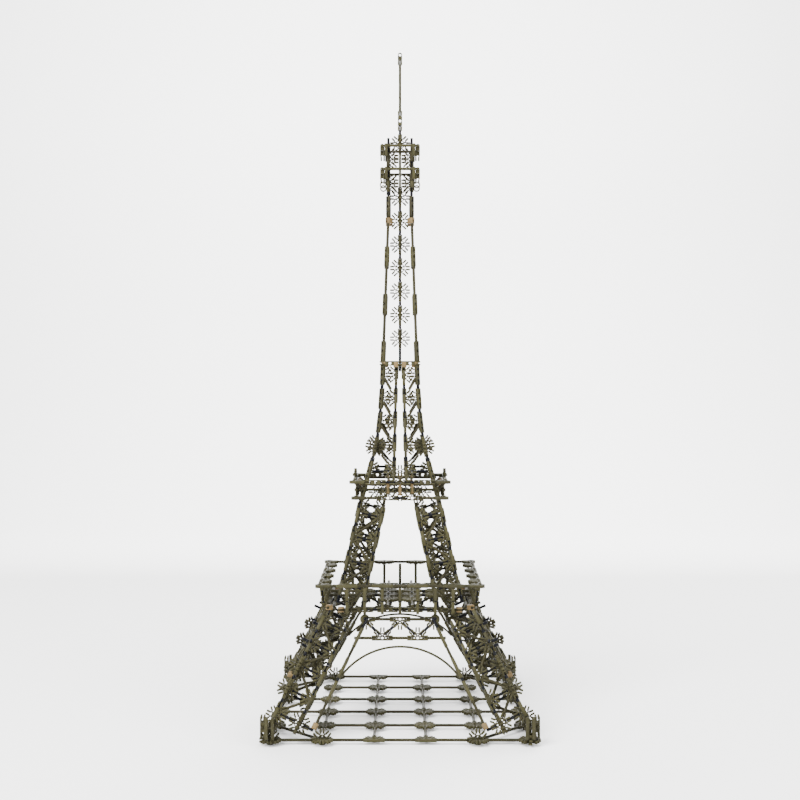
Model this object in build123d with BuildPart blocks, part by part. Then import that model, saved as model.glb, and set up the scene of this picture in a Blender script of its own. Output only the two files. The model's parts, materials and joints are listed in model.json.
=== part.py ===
"""Model of a four-legged lattice tower, built from snap-together rods and flat connectors.

Every rod ends in the jaws of a connector. Where members meet in three dimensions, two
connectors interlock at right angles through half slots and share one centre.
The tower stands on Z = 0 with its axis on Z, and repeats four times round that axis.
"""

import os

from build123d import *

# Driving dimensions, in millimetres
BAY = 53.03  # centre spacing of two connectors joined by a standard rod
ROD_DIAMETER = 3.1
PLATE_THICKNESS = 3.2
JAW_REACH = 11.35  # connector centre to the tips of its jaws
JAW_WIDTH = 5.0  # across both fingers of a jaw
JAW_GAP = 3.3  # between the fingers
SEAT = 5.1  # connector centre to the end of a rod
THROAT = 6.35  # connector centre to the narrow part of a jaw, which holds a rod's neck
THROAT_GAP = 2.4
HUB_RADIUS = 5.2
HUB_HOLE = 1.65  # radius
WINDOW_RADIUS = 1.0
WINDOW_CENTRE = 3.6
FOOT_BACK = 4.9  # connector centre to the flat underside of a foot
RING_RADIUS, RING_HOLE = 3.7, 2.5  # plain rings of the cabin
SLOT_CLEARANCE = 0.05
NECK_RADIUS = 1.15
NECK_START, NECK_END = 1.2, 6.3  # neck of a rod, measured from its end
CLIP_RADIUS = 2.9
CLIP_LENGTH = 6.4
CLIP_MOUTH = 2.48  # opening that snaps over a rod
ARCH_ROD_DIAMETER = 2.6
GRID_HEIGHT = FOOT_BACK  # the base grid's mid-plane stands this high on the feet

# Proportions, in bays, with heights counted from the base grid
GRID_EDGE = 2.5
LEG_BASE = Vector(-2.44, -2.44, 0.43)
LEG_SLOPE = 0.519  # run along each side for each unit of height
SHOULDER_BASE = Vector(-1.187, -1.187, 2.77)
SHOULDER_SLOPE = 0.222
FIRST_LEVEL = 0.1  # first node above the base of a leg
CELL = 0.5  # side of a lattice cell
BEAM_HEIGHT, BEAM_OFFSET = 2.31, 1.46
BALCONY_HEIGHT, BALCONY_OFFSET = 2.81, 1.6
DECK_HEIGHT = 2.388
FACE_OFFSET, FACE_HEIGHT = -1.99, 1.0  # a point that the sloping plane of the front face passes through
STRUT_OFFSET = 0.8  # along a leg's base beam
GALLERY_LOW, GALLERY_LOW_OFFSET = 4.50, 0.905
GALLERY_HIGH, GALLERY_HIGH_OFFSET = 4.83, 0.945
COLLAR_HEIGHT, COLLAR_OFFSET = 7.25, 0.365
SHAFT_INNER_OFFSET, SHAFT_INNER_TAPER = 0.14, 0.012  # inner chords: at the foot, less at each level
SPIRE_FOOT, SPIRE_OFFSET, SPIRE_TAPER = 7.3, 0.36, 0.11 / 3
SPINE_HEIGHT, SPINE_NODES = 7.80, 6
CABIN_OFFSET = 0.245
CABIN_FLOOR, CABIN_CEILING = 10.80, 11.93
POST_SPACING = 0.3535

SIDES = ["front", "right", "back", "left"]
LEGS = ["front_left", "front_right", "back_right", "back_left"]


# ---------------------------------------------------------------- pieces
def connector(arms, slotted=False, back=None, windows=True):
    """Flat connector in XY with a jaw at each angle of arms, and a half slot along -X if slotted.

    back is the distance from the centre to a straight back on the -Y side.
    """
    with BuildPart() as plate:
        with BuildSketch():
            Circle(HUB_RADIUS if len(arms) > 2 else JAW_WIDTH / 2)
            for angle in arms:
                with Locations(Location((0, 0, 0), (0, 0, angle))):
                    Rectangle(JAW_REACH, JAW_WIDTH, align=(Align.MIN, Align.CENTER))
            if back:
                with Locations((0, -back)):
                    Rectangle(
                        3 * JAW_REACH, JAW_REACH, align=(Align.CENTER, Align.MAX), mode=Mode.SUBTRACT
                    )
            for angle in arms:
                pocket = THROAT - SEAT + SLOT_CLEARANCE
                with PolarLocations(SEAT - SLOT_CLEARANCE, 1, start_angle=angle):
                    Rectangle(pocket, JAW_GAP, align=(Align.MIN, Align.CENTER), mode=Mode.SUBTRACT)
                with PolarLocations(THROAT, 1, start_angle=angle):
                    Rectangle(JAW_REACH, THROAT_GAP, align=(Align.MIN, Align.CENTER), mode=Mode.SUBTRACT)
                if windows:
                    with PolarLocations(WINDOW_CENTRE, 1, start_angle=angle):
                        Circle(WINDOW_RADIUS, mode=Mode.SUBTRACT)
            Circle(HUB_HOLE, mode=Mode.SUBTRACT)
            if slotted:
                slot = PLATE_THICKNESS + 2 * SLOT_CLEARANCE
                with Locations((SLOT_CLEARANCE, 0)):
                    Rectangle(2 * JAW_REACH, slot, align=(Align.MAX, Align.CENTER), mode=Mode.SUBTRACT)
        extrude(amount=PLATE_THICKNESS / 2, both=True)
    return plate.part.solids()[0]


def rod(length, low_neck, high_neck):
    """Round rod along Z, centred on the origin, with a neck at each end that a jaw holds."""
    radius, half = ROD_DIAMETER / 2, length / 2
    neck = [(radius, half - NECK_END), (NECK_RADIUS, half - NECK_END)]
    neck += [(NECK_RADIUS, half - NECK_START), (radius, half - NECK_START)]
    upper = (neck if high_neck else []) + [(radius, half)]
    lower = [(x, -z) for x, z in reversed((neck if low_neck else []) + [(radius, half)])]
    with BuildPart() as bar:
        with BuildSketch(Plane.XZ):
            with BuildLine():
                Polyline(*lower, *upper, (0, half), (0, -half), close=True)
            make_face()
        revolve(axis=Axis.Z)
    return bar.part.solids()[0]


def clip():
    """Snap clip: an open ring round a rod that lies along Z, with a short socket along +X."""
    with BuildPart() as piece:
        with BuildSketch():
            Circle(CLIP_RADIUS)
            Rectangle(SEAT, JAW_WIDTH, align=(Align.MIN, Align.CENTER))
            Circle(ROD_DIAMETER / 2 + SLOT_CLEARANCE, mode=Mode.SUBTRACT)
            with Locations((-CLIP_RADIUS / 2, 0)):
                Rectangle(CLIP_RADIUS, CLIP_MOUTH, align=(Align.MAX, Align.CENTER), mode=Mode.SUBTRACT)
        extrude(amount=CLIP_LENGTH / 2, both=True)
    return piece.part.solids()[0]


def ring():
    """Plain flat ring in XY."""
    with BuildPart() as piece:
        with BuildSketch():
            Circle(RING_RADIUS)
            Circle(RING_HOLE, mode=Mode.SUBTRACT)
        extrude(amount=PLATE_THICKNESS / 2, both=True)
    return piece.part.solids()[0]


SNOWFLAKE = connector(range(0, 360, 45))
HALF = connector(range(0, 181, 45), back=JAW_WIDTH / 2)
ELBOW = connector([0, 45, 90])
STRAIGHT = connector([0, 180], windows=False)
ENDER = connector([0], windows=False)
SLOTTED_FULL = connector([0, 45, 90, 135, 225, 270, 315], slotted=True)
SLOTTED_QUARTER = connector([0, 45, 90, 135], slotted=True, back=JAW_WIDTH / 2)
SLOTTED_FOOT = connector([0, 45, 90, 135], slotted=True, back=FOOT_BACK)
CLIP = clip()
RING = ring()
ROD_STOCK = {}


# ---------------------------------------------------------------- placing
def at(x, y, z):
    """Point from bay units, with heights counted from the base grid."""
    return Vector(x * BAY, y * BAY, z * BAY + GRID_HEIGHT)


def facing(centre, along, normal):
    """Place of a connector: its X axis goes along, and its face looks along normal."""
    return Plane(origin=centre, x_dir=Vector(*along), z_dir=Vector(*normal)).location


class Group:
    """Like pieces that share one node."""

    def __init__(self, name):
        self.name = name
        self.pieces = []

    def put(self, piece, place):
        self.pieces.append(piece.moved(place))

    def span(self, start, end, from_start=SEAT, from_end=SEAT):
        """Rod between two connector centres, kept clear of each by its own seat."""
        run = end - start
        direction = run.normalized()
        length = round(run.length - from_start - from_end, 1)
        long_enough = length > 2 * NECK_END
        key = (length, long_enough and from_start == SEAT, long_enough and from_end == SEAT)
        if key not in ROD_STOCK:
            ROD_STOCK[key] = rod(*key)
        middle = (start + direction * from_start + end - direction * from_end) / 2
        self.put(ROD_STOCK[key], Plane(origin=middle, z_dir=direction).location)

    def turned(self, quarter_turns):
        """The same pieces, turned about the tower's axis."""
        return [piece.moved(Location((0, 0, 0), (0, 0, 90 * quarter_turns))) for piece in self.pieces]

    def write(self, names=None):
        """One node of four turned copies, or one node for each name."""
        if names is None:
            write_node(self.name, [piece for turn in range(4) for piece in self.turned(turn)])
        else:
            for turn, side in enumerate(names):
                write_node(f"{self.name}_{side}", self.turned(turn))


def write_node(name, pieces):
    for index, piece in enumerate(pieces):
        piece.label = f"{name}_{index + 1}"
    node = Compound(label=name, children=pieces)
    export_step(node, f"parts/{name}.step", write_pcurves=False)
    print(name, len(pieces))


def interlock(
    group, centre, shared, first, second, full_first=False, full_second=False, fan=SLOTTED_QUARTER
):
    """Two connectors at right angles on one centre, with the axis shared between them.

    first and second are the directions that each connector's fan of jaws opens towards.
    """
    shared, first, second = Vector(*shared), Vector(*first), Vector(*second)
    for towards, along, full in ((first, shared, full_first), (second, shared * -1, full_second)):
        piece = SLOTTED_FULL if full else fan
        group.put(piece, facing(centre, along, along.cross(towards)))


# ---------------------------------------------------------------- base grid
def build_grid():
    rods = Group("ground_rods")
    inner = Group("ground_snowflakes")
    edge = Group("ground_edge_connectors")
    feet = Group("foot_connectors")
    posts = Group("foot_posts")
    rows = [-2.5, -1.5, -0.5, 0.5, 1.5, 2.5]
    for row in rows[:3]:
        for start in rows[:-1]:
            corner_cell = row == -1.5 and abs(start + 0.5) == 2
            if not corner_cell:
                rods.span(at(start, row, 0), at(start + 1, row, 0))
    for x, y in ((-1.5, -1.5), (-0.5, -1.5), (0.5, -1.5), (-0.5, -0.5)):
        inner.put(SNOWFLAKE, facing(at(x, y, 0), (1, 0, 0), (0, 0, 1)))
    for x in (-0.5, 0.5):
        edge.put(HALF, facing(at(x, -GRID_EDGE, 0), (1, 0, 0), (0, 0, 1)))
    # The twelve nodes that carry the legs are interlocked pairs that stand on their flat backs.
    corner = at(-GRID_EDGE, -GRID_EDGE, 0)
    interlock(feet, corner, (1, 0, 0), (0, 1, 0), (0, 0, 1), full_first=True, fan=SLOTTED_FOOT)
    post_top = 0.36
    posts.span(corner, at(-GRID_EDGE, -GRID_EDGE, post_top), SEAT, 0)
    # stiffeners stand round each corner foot, threaded on a short rod through their hubs
    out, height = -2.642, 0.262
    pin_start, pin_end = -2.605, -2.38
    for station in (-2.56, -2.44):
        feet.put(STRAIGHT, facing(at(station, out, height), (0, 0, 1), (1, 0, 0)))
        feet.put(STRAIGHT, facing(at(out, station, height), (0, 0, 1), (0, 1, 0)))
    posts.span(at(pin_start, out, height), at(pin_end, out, height), 0, 0)
    posts.span(at(out, pin_start, height), at(out, pin_end, height), 0, 0)
    for toe in (at(-1.5, -GRID_EDGE, 0), at(1.5, -GRID_EDGE, 0)):
        interlock(feet, toe, (1, 0, 0), (0, 1, 0), (0, 0, 1), full_first=True, fan=SLOTTED_FOOT)
    rods.span(at(-1.5, -GRID_EDGE, 0), at(-GRID_EDGE, -1.5, 0), SEAT, SEAT)
    for group in (rods, inner, edge, feet, posts):
        group.write()


# ---------------------------------------------------------------- legs
def across(up):
    """Two directions at right angles to up and to each other, close to X and Y."""
    first = Vector(1, 0, 0) - up * up.X
    second = Vector(0, 1, 0) - up * up.Y
    diagonal = (first.normalized() + second.normalized()).normalized()
    spread = (first.normalized() - second.normalized()).normalized()
    return (diagonal + spread).normalized(), (diagonal - spread).normalized()


class Column:
    """Square lattice column: w runs up it, u and v run across it."""

    def __init__(self, base, slope):
        self.base = base
        self.w = Vector(slope, slope, 1).normalized()
        self.u, self.v = across(self.w)

    def node(self, u, v, t):
        spot = self.base + self.u * u + self.v * v + self.w * t
        return at(spot.X, spot.Y, spot.Z)


CORNERS = [(0, 0), (CELL, 0), (CELL, CELL), (0, CELL)]


def fill_column(column, levels, plates, links, diagonals, first_level, bristling=()):
    """Chord connectors, black chord links and rungs, and one diagonal in each cell.

    levels gives the first level and the one after the last for each corner. A node in
    bristling has connectors with jaws all round, so that empty jaws point outwards.
    """

    def spot(corner, level):
        return column.node(*corner, first_level + CELL * level)

    def present(corner, level):
        return level in range(*levels[corner])

    for corner in CORNERS:
        inward_u = column.u if corner[0] == 0 else column.u * -1
        inward_v = column.v if corner[1] == 0 else column.v * -1
        for level in range(*levels[corner]):
            full = (corner, level) in bristling
            interlock(plates, spot(corner, level), column.w, inward_u, inward_v, full, full)
            if present(corner, level + 1):
                links.span(spot(corner, level), spot(corner, level + 1))
    for index, corner in enumerate(CORNERS):
        neighbour = CORNERS[(index + 1) % len(CORNERS)]
        for level in range(max(stop for start, stop in levels.values())):
            if present(corner, level) and present(neighbour, level):
                links.span(spot(corner, level), spot(neighbour, level))
            low, high = (corner, neighbour) if level % 2 == 0 else (neighbour, corner)
            if present(low, level) and present(high, level + 1):
                diagonals.span(spot(low, level), spot(high, level + 1))


def build_legs():
    plates, links, diagonals = Group("leg_plates"), Group("leg_links"), Group("leg_diagonals")
    pegs = Group("leg_pegs")
    column = Column(LEG_BASE, LEG_SLOPE)
    # the innermost chord starts one level higher, because the column slopes into the ground
    levels = {(0, 0): (0, 5), (CELL, 0): (0, 5), (0, CELL): (0, 5), (CELL, CELL): (1, 6)}
    bristling = [((0, 0), 1), ((0, 0), 2), ((CELL, 0), 0), ((0, CELL), 0)]
    fill_column(column, levels, plates, links, diagonals, FIRST_LEVEL, bristling)
    # the base beams run on from the side chords towards the toes of the foot
    beam_end, tail_end = 2 * CELL - 0.2, FIRST_LEVEL + 0.06
    links.span(column.node(CELL, 0, FIRST_LEVEL), column.node(beam_end, 0, FIRST_LEVEL), SEAT, 0)
    links.span(column.node(0, CELL, FIRST_LEVEL), column.node(0, beam_end, FIRST_LEVEL), SEAT, 0)
    links.span(column.node(CELL, CELL, FIRST_LEVEL + CELL), column.node(CELL, CELL, tail_end), SEAT, 0)
    # the outer chord runs down to the post of the corner foot
    outer, outer_end = column.node(0, 0, FIRST_LEVEL), FIRST_LEVEL - 0.21
    links.span(outer, column.node(0, 0, outer_end), SEAT, 0)
    # short spare pegs stand on the flat backs of the chords
    peg_length, chord_back = 7.5, JAW_WIDTH / 2
    for corner, out, level in (
        ((0, 0), column.u, 3),
        ((0, CELL), column.u, 3),
        ((0, CELL), column.u, 4),
        ((0, 0), column.v, 3),
        ((CELL, 0), column.v, 3),
        ((CELL, 0), column.v, 4),
    ):
        start = column.node(*corner, FIRST_LEVEL + CELL * level)
        pegs.span(start, start - out * (chord_back + peg_length), chord_back + SLOT_CLEARANCE, 0)
    for group in (plates, links, diagonals):
        group.write(LEGS)
    pegs.write()


# ---------------------------------------------------------------- struts, arches and trusses
def face_point(x, z):
    """Point in the sloping plane of the front face, just inside the legs' outer faces."""
    return at(x, FACE_OFFSET + LEG_SLOPE * (z - FACE_HEIGHT), z)


def strut_point(t):
    """Point on the inner strut of the front face, t bays up from the base beam."""
    return Column(LEG_BASE, LEG_SLOPE).node(STRUT_OFFSET, 0, t)


def build_face(clips):
    rods, joints, links = Group("strut_rods"), Group("strut_couplers"), Group("strut_links")
    arch = Group("arch")
    truss_plates, truss_links = Group("truss_connectors"), Group("truss_links")
    truss_rods = Group("truss_rods")
    lean = Vector(0, LEG_SLOPE, 1).normalized()
    outward = Vector(1, 0, 0).cross(lean)  # the face's normal
    stops = [0.18, 0.93, 1.43, 2.10, 2.55]
    for side in (-1, 1):

        def there(point):
            return Vector(-side * point.X, point.Y, point.Z)

        up = (there(strut_point(1.0)) - there(strut_point(0.0))).normalized()
        for low, high in zip(stops[:-1], stops[1:]):
            member = links if high - low < CELL + SLOT_CLEARANCE else rods
            start_gap = 0 if low == stops[0] else SEAT
            end_gap = 0 if high == stops[-1] else SEAT
            member.span(there(strut_point(low)), there(strut_point(high)), start_gap, end_gap)
        for stop in stops[1:-1]:
            joints.put(STRAIGHT, facing(there(strut_point(stop)), up, up.cross(outward)))
        foot = there(strut_point(stops[0]))
        clips.put(CLIP, facing(foot, outward, up))
    half_span, spring, crown = 1.15, 1.07, 1.616
    with BuildPart() as bow:
        with BuildLine() as path:
            ThreePointArc(
                face_point(-half_span, spring), face_point(0, crown), face_point(half_span, spring)
            )
        with BuildSketch(Plane(origin=path.line @ 0, z_dir=path.line % 0)):
            Circle(ARCH_ROD_DIAMETER / 2)
        sweep(path=path.line)
    arch.put(bow.part.solids()[0], Location())
    low, high = 1.77, 2.11
    along = (1, 0, 0)
    chord_end, brace_end, brace_height = 0.92, 0.86, low + 0.12
    pin_back, pin_front = 0.25 * BAY, 0.05 * BAY
    for x in (-POST_SPACING, POST_SPACING):
        truss_plates.put(HALF, facing(face_point(x, low), along, outward))
    truss_plates.put(HALF, facing(face_point(0, high), (-1, 0, 0), outward))
    for side in (-1, 1):
        corner = face_point(side * 2 * POST_SPACING, high)
        bottom = face_point(side * POST_SPACING, low)
        truss_plates.put(ELBOW, facing(corner, (-side, 0, 0), outward * side))
        truss_links.span(corner, bottom)
        truss_links.span(bottom, face_point(0, high))
        truss_rods.span(corner, face_point(0, high))
        truss_rods.span(bottom, face_point(side * chord_end, low), SEAT, 0)
        truss_rods.span(corner, face_point(side * brace_end, brace_height), HUB_RADIUS + 0.2, 0)
        truss_links.span(corner - outward * pin_back, corner + outward * pin_front, 0, 0)
    truss_rods.span(face_point(-POST_SPACING, low), face_point(POST_SPACING, low))
    for group in (rods, joints, links, truss_plates, truss_links, truss_rods):
        group.write()
    arch.write(SIDES)


# ---------------------------------------------------------------- first platform
def build_platform(clips):
    plates, rods, links = Group("platform_plates"), Group("platform_rods"), Group("platform_links")
    ring, rails = Group("balcony_connectors"), Group("balcony_rods")
    deck = Group("deck_snowflakes")
    last_joint, beam_end, clip_x = 0.75, 1.25, 1.19
    for x in (-last_joint, -CELL / 2, CELL / 2, last_joint):
        plates.put(STRAIGHT, facing(at(x, -BEAM_OFFSET, BEAM_HEIGHT), (1, 0, 0), (0, -1, 0)))
    for x in (-0.5, 0, 0.5):
        links.span(at(x - CELL / 2, -BEAM_OFFSET, BEAM_HEIGHT), at(x + CELL / 2, -BEAM_OFFSET, BEAM_HEIGHT))
    for side in (-1, 1):
        last = at(side * last_joint, -BEAM_OFFSET, BEAM_HEIGHT)
        rods.span(last, at(side * beam_end, -BEAM_OFFSET, BEAM_HEIGHT), SEAT, 0)
        clips.put(CLIP, facing(at(side * clip_x, -BEAM_OFFSET, BEAM_HEIGHT), (0, 1, 0), (side, 0, 0)))
    # posts lean outwards from the beam's outer face to the underside of the balcony
    foot_y, foot_height, head_height = -BEAM_OFFSET - 0.085, BEAM_HEIGHT - 0.03, BALCONY_HEIGHT - 0.085
    for index in range(-3, 4):
        foot = at(index * POST_SPACING, foot_y, foot_height)
        head = at(index * POST_SPACING, -BALCONY_OFFSET, head_height)
        rise = (head - foot).normalized()
        plates.put(ENDER, facing(foot, rise, (1, 0, 0)))
        plates.put(ENDER, facing(head, rise * -1, (1, 0, 0)))
        links.span(foot, head)
    outer_post = 3 * POST_SPACING
    stations = [-BALCONY_OFFSET, -outer_post, -POST_SPACING, POST_SPACING, outer_post, BALCONY_OFFSET]
    for x in stations[1:-1]:
        ring.put(HALF, facing(at(x, -BALCONY_OFFSET, BALCONY_HEIGHT), (1, 0, 0), (0, 0, 1)))
    ring.put(ELBOW, facing(at(-BALCONY_OFFSET, -BALCONY_OFFSET, BALCONY_HEIGHT), (1, 0, 0), (0, 0, 1)))
    for start, end in zip(stations[:-1], stations[1:]):
        rails.span(at(start, -BALCONY_OFFSET, BALCONY_HEIGHT), at(end, -BALCONY_OFFSET, BALCONY_HEIGHT))
    # the deck is a small grid of snowflakes that lies on the beams
    half_cell, edge = CELL / 2, 3 * CELL / 2
    deck_end = -BEAM_OFFSET - 0.03
    for x, y in ((-half_cell, -half_cell), (-edge, -half_cell), (-edge, half_cell)):
        deck.put(SNOWFLAKE, facing(at(x, y, DECK_HEIGHT), (1, 0, 0), (0, 0, 1)))
    for start, end in (
        ((-half_cell, -half_cell), (half_cell, -half_cell)),
        ((-half_cell, -half_cell), (-edge, -half_cell)),
        ((-half_cell, half_cell), (-edge, half_cell)),
        ((-edge, -half_cell), (-edge, half_cell)),
    ):
        links.span(at(*start, DECK_HEIGHT), at(*end, DECK_HEIGHT))
    for y in (-half_cell, half_cell):
        rods.span(at(-edge, y, DECK_HEIGHT), at(deck_end, y, DECK_HEIGHT), SEAT, 0)
    deck.write()
    for group in (plates, rods, links, ring, rails):
        group.write()


# ---------------------------------------------------------------- shoulders and gallery
def build_shoulders():
    plates, links = Group("shoulder_plates"), Group("shoulder_links")
    diagonals = Group("shoulder_diagonals")
    column = Column(SHOULDER_BASE, SHOULDER_SLOPE)
    levels = {corner: (0, 4) for corner in CORNERS}
    fill_column(column, levels, plates, links, diagonals, 0)
    tail_end, last_level, head_end = -0.362, 3 * CELL, 1.73
    for corner in CORNERS:
        links.span(column.node(*corner, 0), column.node(*corner, tail_end), SEAT, 0)
    links.span(column.node(0, 0, last_level), column.node(0, 0, head_end), SEAT, 0)
    for group in (plates, links, diagonals):
        group.write()


def build_gallery(clips):
    plates, rods, links = Group("gallery_connectors"), Group("gallery_rods"), Group("gallery_links")
    low_y, high_y = -GALLERY_LOW_OFFSET, -GALLERY_HIGH_OFFSET
    front = (0, -1, 0)
    plates.put(ELBOW, facing(at(low_y, low_y, GALLERY_LOW), (1, 0, 0), (0, 0, 1)))
    plates.put(ELBOW, facing(at(high_y, high_y, GALLERY_HIGH), (1, 0, 0), (0, 0, 1)))
    plates.put(HALF, facing(at(0, high_y, GALLERY_HIGH), (1, 0, 0), front))
    inner_x, coupler_x, fan_x = 0.25, 0.5, 0.44
    links.span(at(-inner_x, low_y, GALLERY_LOW), at(inner_x, low_y, GALLERY_LOW))
    # a band between the two rings: half connectors in a row, and a rod that carries tan uprights
    band_y, band = -0.80, 4.64
    hang_y, hang, hang_end = -0.868, 4.775, 0.8
    plates.put(HALF, facing(at(0, band_y, band), (-1, 0, 0), front))
    for side in (-1, 1):
        plates.put(HALF, facing(at(side * inner_x, low_y, GALLERY_LOW), (1, 0, 0), front))
        rods.span(at(side * inner_x, low_y, GALLERY_LOW), at(side * -low_y, low_y, GALLERY_LOW))
        middle = at(side * coupler_x, high_y, GALLERY_HIGH)
        plates.put(STRAIGHT, facing(middle, (1, 0, 0), front))
        links.span(at(0, high_y, GALLERY_HIGH), middle)
        rods.span(middle, at(side * -high_y, high_y, GALLERY_HIGH))
        plates.put(HALF, facing(at(side * fan_x, band_y, band), (-1, 0, 0), front))
        links.span(at(0, band_y, band), at(side * fan_x, band_y, band))
        clips.put(ENDER, facing(at(side * inner_x, hang_y, hang), (0, 0, -1), (1, 0, 0)))
    clips.put(ENDER, facing(at(0, hang_y, hang), (0, 0, -1), (1, 0, 0)))
    rods.span(at(-hang_end, hang_y, hang), at(hang_end, hang_y, hang), 0, 0)
    # a brace drops from each upper corner to the shoulder's outer chord
    brace_foot = at(-0.745, -0.745, 4.65)
    under_elbow, beside_chord = 2.4, 4.4
    rods.span(at(high_y, high_y, GALLERY_HIGH), brace_foot, under_elbow, beside_chord)
    for group in (plates, rods, links):
        group.write()


# ---------------------------------------------------------------- shaft
# height and offset from the axis of each node of the outer chords
CHORD_STATIONS = [(4.615, 0.752), (5.03, 0.643), (5.53, 0.513), (6.03, 0.436), (6.53, 0.395), (7.03, 0.367)]


def build_shaft(clips):
    plates, fans = Group("shaft_chord_plates"), Group("shaft_fans")
    links, diagonals = Group("shaft_links"), Group("shaft_diagonals")
    chord = [at(-offset, -offset, height) for height, offset in CHORD_STATIONS]
    chord.append(at(-COLLAR_OFFSET, -COLLAR_OFFSET, COLLAR_HEIGHT))
    bristling = 2  # the station whose connectors have jaws all round
    beside_chord, under_collar = 4.5, 3
    widest_with_ties = 0.5
    for index, (here, above) in enumerate(zip(chord[:-1], chord[1:])):
        up = (above - chord[max(index - 1, 0)]).normalized()
        if index == bristling:
            interlock(plates, here, up, *across(up), True, True)
        else:
            plates.put(STRAIGHT, facing(here, up, Vector(-1, 1, 0).cross(up)))
        links.span(here, above, SEAT, SEAT if above is not chord[-1] else under_collar)
    top_level = len(CHORD_STATIONS) - 1

    def inner(level, side):
        height, offset = CHORD_STATIONS[level]
        return at(side * (SHAFT_INNER_OFFSET - SHAFT_INNER_TAPER * level), -offset, height)

    def outer(level, side):
        height, offset = CHORD_STATIONS[level]
        return at(side * offset, -offset, height)

    for level in range(1, top_level + 1):
        for side in (-1, 1):
            here = inner(level, side)
            up = (inner(min(level + 1, top_level), side) - inner(max(level - 1, 1), side)).normalized()
            outwards, inwards = across(up)
            interlock(fans, here, up, outwards * side, inwards)
            if level < top_level:
                links.span(here, inner(level + 1, side))
                end_gap = JAW_REACH if level + 1 == bristling else beside_chord
                diagonals.span(here, outer(level + 1, side), JAW_REACH, end_gap)
            if CHORD_STATIONS[level][1] > widest_with_ties and level != bristling:
                links.span(here, outer(level, side), SEAT, beside_chord)
    for group in (plates, fans, links, diagonals):
        group.write()
    # the collar's plates meet at the corners, where the fingers of one pass between those of the next
    collar = []
    lift, clip_x, clip_y = THROAT_GAP / 2 + 0.1, 0.085, -0.30
    along = (JAW_REACH + SLOT_CLEARANCE) / BAY
    for side in (-1, 1):
        front = at(side * along, -COLLAR_OFFSET, COLLAR_HEIGHT) + Vector(0, 0, lift)
        flank = at(-COLLAR_OFFSET, side * along, COLLAR_HEIGHT) - Vector(0, 0, lift)
        collar.append(STRAIGHT.moved(facing(front, (1, 0, 0), (0, -1, 0))))
        collar.append(STRAIGHT.moved(facing(flank, (0, 1, 0), (1, 0, 0))))
        clips.put(CLIP, facing(at(side * clip_x, clip_y, COLLAR_HEIGHT), (0, -1, 0), (0, 0, 1)))
    collar += [plate.moved(Location((0, 0, 0), (0, 0, 180))) for plate in collar]
    write_node("collar_plates", collar)


# ---------------------------------------------------------------- spire
def build_spire():
    couplers, rods = Group("spire_couplers"), Group("spire_rods")
    flakes, spine = Group("spine_snowflakes"), Group("spine_links")

    def chord(height):
        offset = SPIRE_OFFSET - (height - SPIRE_FOOT) * SPIRE_TAPER
        return at(-offset, -offset, height)

    joints, under_cabin, above_collar = [7.53, 8.52, 9.52], 10.245, 7.33
    up = (chord(joints[-1]) - chord(joints[0])).normalized()
    for height in joints:
        couplers.put(STRAIGHT, facing(chord(height), up, Vector(-1, 1, 0).cross(up)))
    for low, high in zip(joints[:-1], joints[1:]):
        rods.span(chord(low), chord(high))
    rods.span(chord(joints[-1]), chord(under_cabin), SEAT, 0)
    rods.span(chord(joints[0]), chord(above_collar), SEAT, 0)
    couplers.write()
    rods.write()
    heights = [SPINE_HEIGHT + CELL * step for step in range(SPINE_NODES)]
    for height in heights:
        interlock(flakes, at(0, 0, height), (0, 0, 1), (1, 0, 0), (0, 1, 0), True, True)
    for low, high in zip(heights[:-1], heights[1:]):
        spine.span(at(0, 0, low), at(0, 0, high))
    spine_foot = 7.1
    spine.span(at(0, 0, spine_foot), at(0, 0, heights[0]), 0, SEAT)
    spine.span(at(0, 0, heights[-1]), at(0, 0, CABIN_FLOOR))
    write_node(flakes.name, flakes.pieces)
    write_node(spine.name, spine.pieces)


# ---------------------------------------------------------------- cabin
def build_cabin(clips):
    posts, links = Group("cabin_posts"), Group("cabin_links")
    beams, hangers = Group("cabin_beams"), Group("cabin_hangers")
    flakes = Group("cabin_snowflakes")
    near = -CABIN_OFFSET
    levels, post_top = [10.58, 11.10, 11.62], 12.02
    posts.put(STRAIGHT, facing(at(near, near, levels[0]), (0, 0, 1), (1, 1, 0)))
    for height in levels[1:]:
        interlock(posts, at(near, near, height), (0, 0, 1), (1, 0, 0), (0, 1, 0))
    for low, high in zip(levels[:-1], levels[1:]):
        links.span(at(near, near, low), at(near, near, high))
    links.span(at(near, near, levels[-1]), at(near, near, post_top), SEAT, 0)
    # each beam is a rod threaded through the hubs of two hanging connectors
    beam_y, reach, hanger_x = -0.372, 0.335, 0.29
    ring_x, ring_y, ring_height = 0.357, -0.25, 11.03
    for height in (11.35, 11.84):
        beams.span(at(-reach, beam_y, height), at(reach, beam_y, height), 0, 0)
        for side in (-1, 1):
            hangers.put(ENDER, facing(at(side * hanger_x, beam_y, height), (0, 0, -1), (1, 0, 0)))
    for side in (-1, 1):
        hangers.put(RING, facing(at(side * ring_x, ring_y, ring_height), (1, 0, 0), (0, 1, 0)))
    clip_height, chord = 10.28, 0.2507
    clips.put(CLIP, facing(at(-chord, -chord, clip_height), (1, 1, 0), (0, 0, 1)))
    for group in (posts, links, beams, hangers):
        group.write()
    for height in (CABIN_FLOOR, CABIN_CEILING):
        interlock(flakes, at(0, 0, height), (0, 0, 1), (1, 0, 0), (0, 1, 0), True, True)
    write_node(flakes.name, flakes.pieces)
    core = Group("cabin_core_rod")
    core.span(at(0, 0, CABIN_FLOOR), at(0, 0, CABIN_CEILING))
    write_node(core.name, core.pieces)


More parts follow.
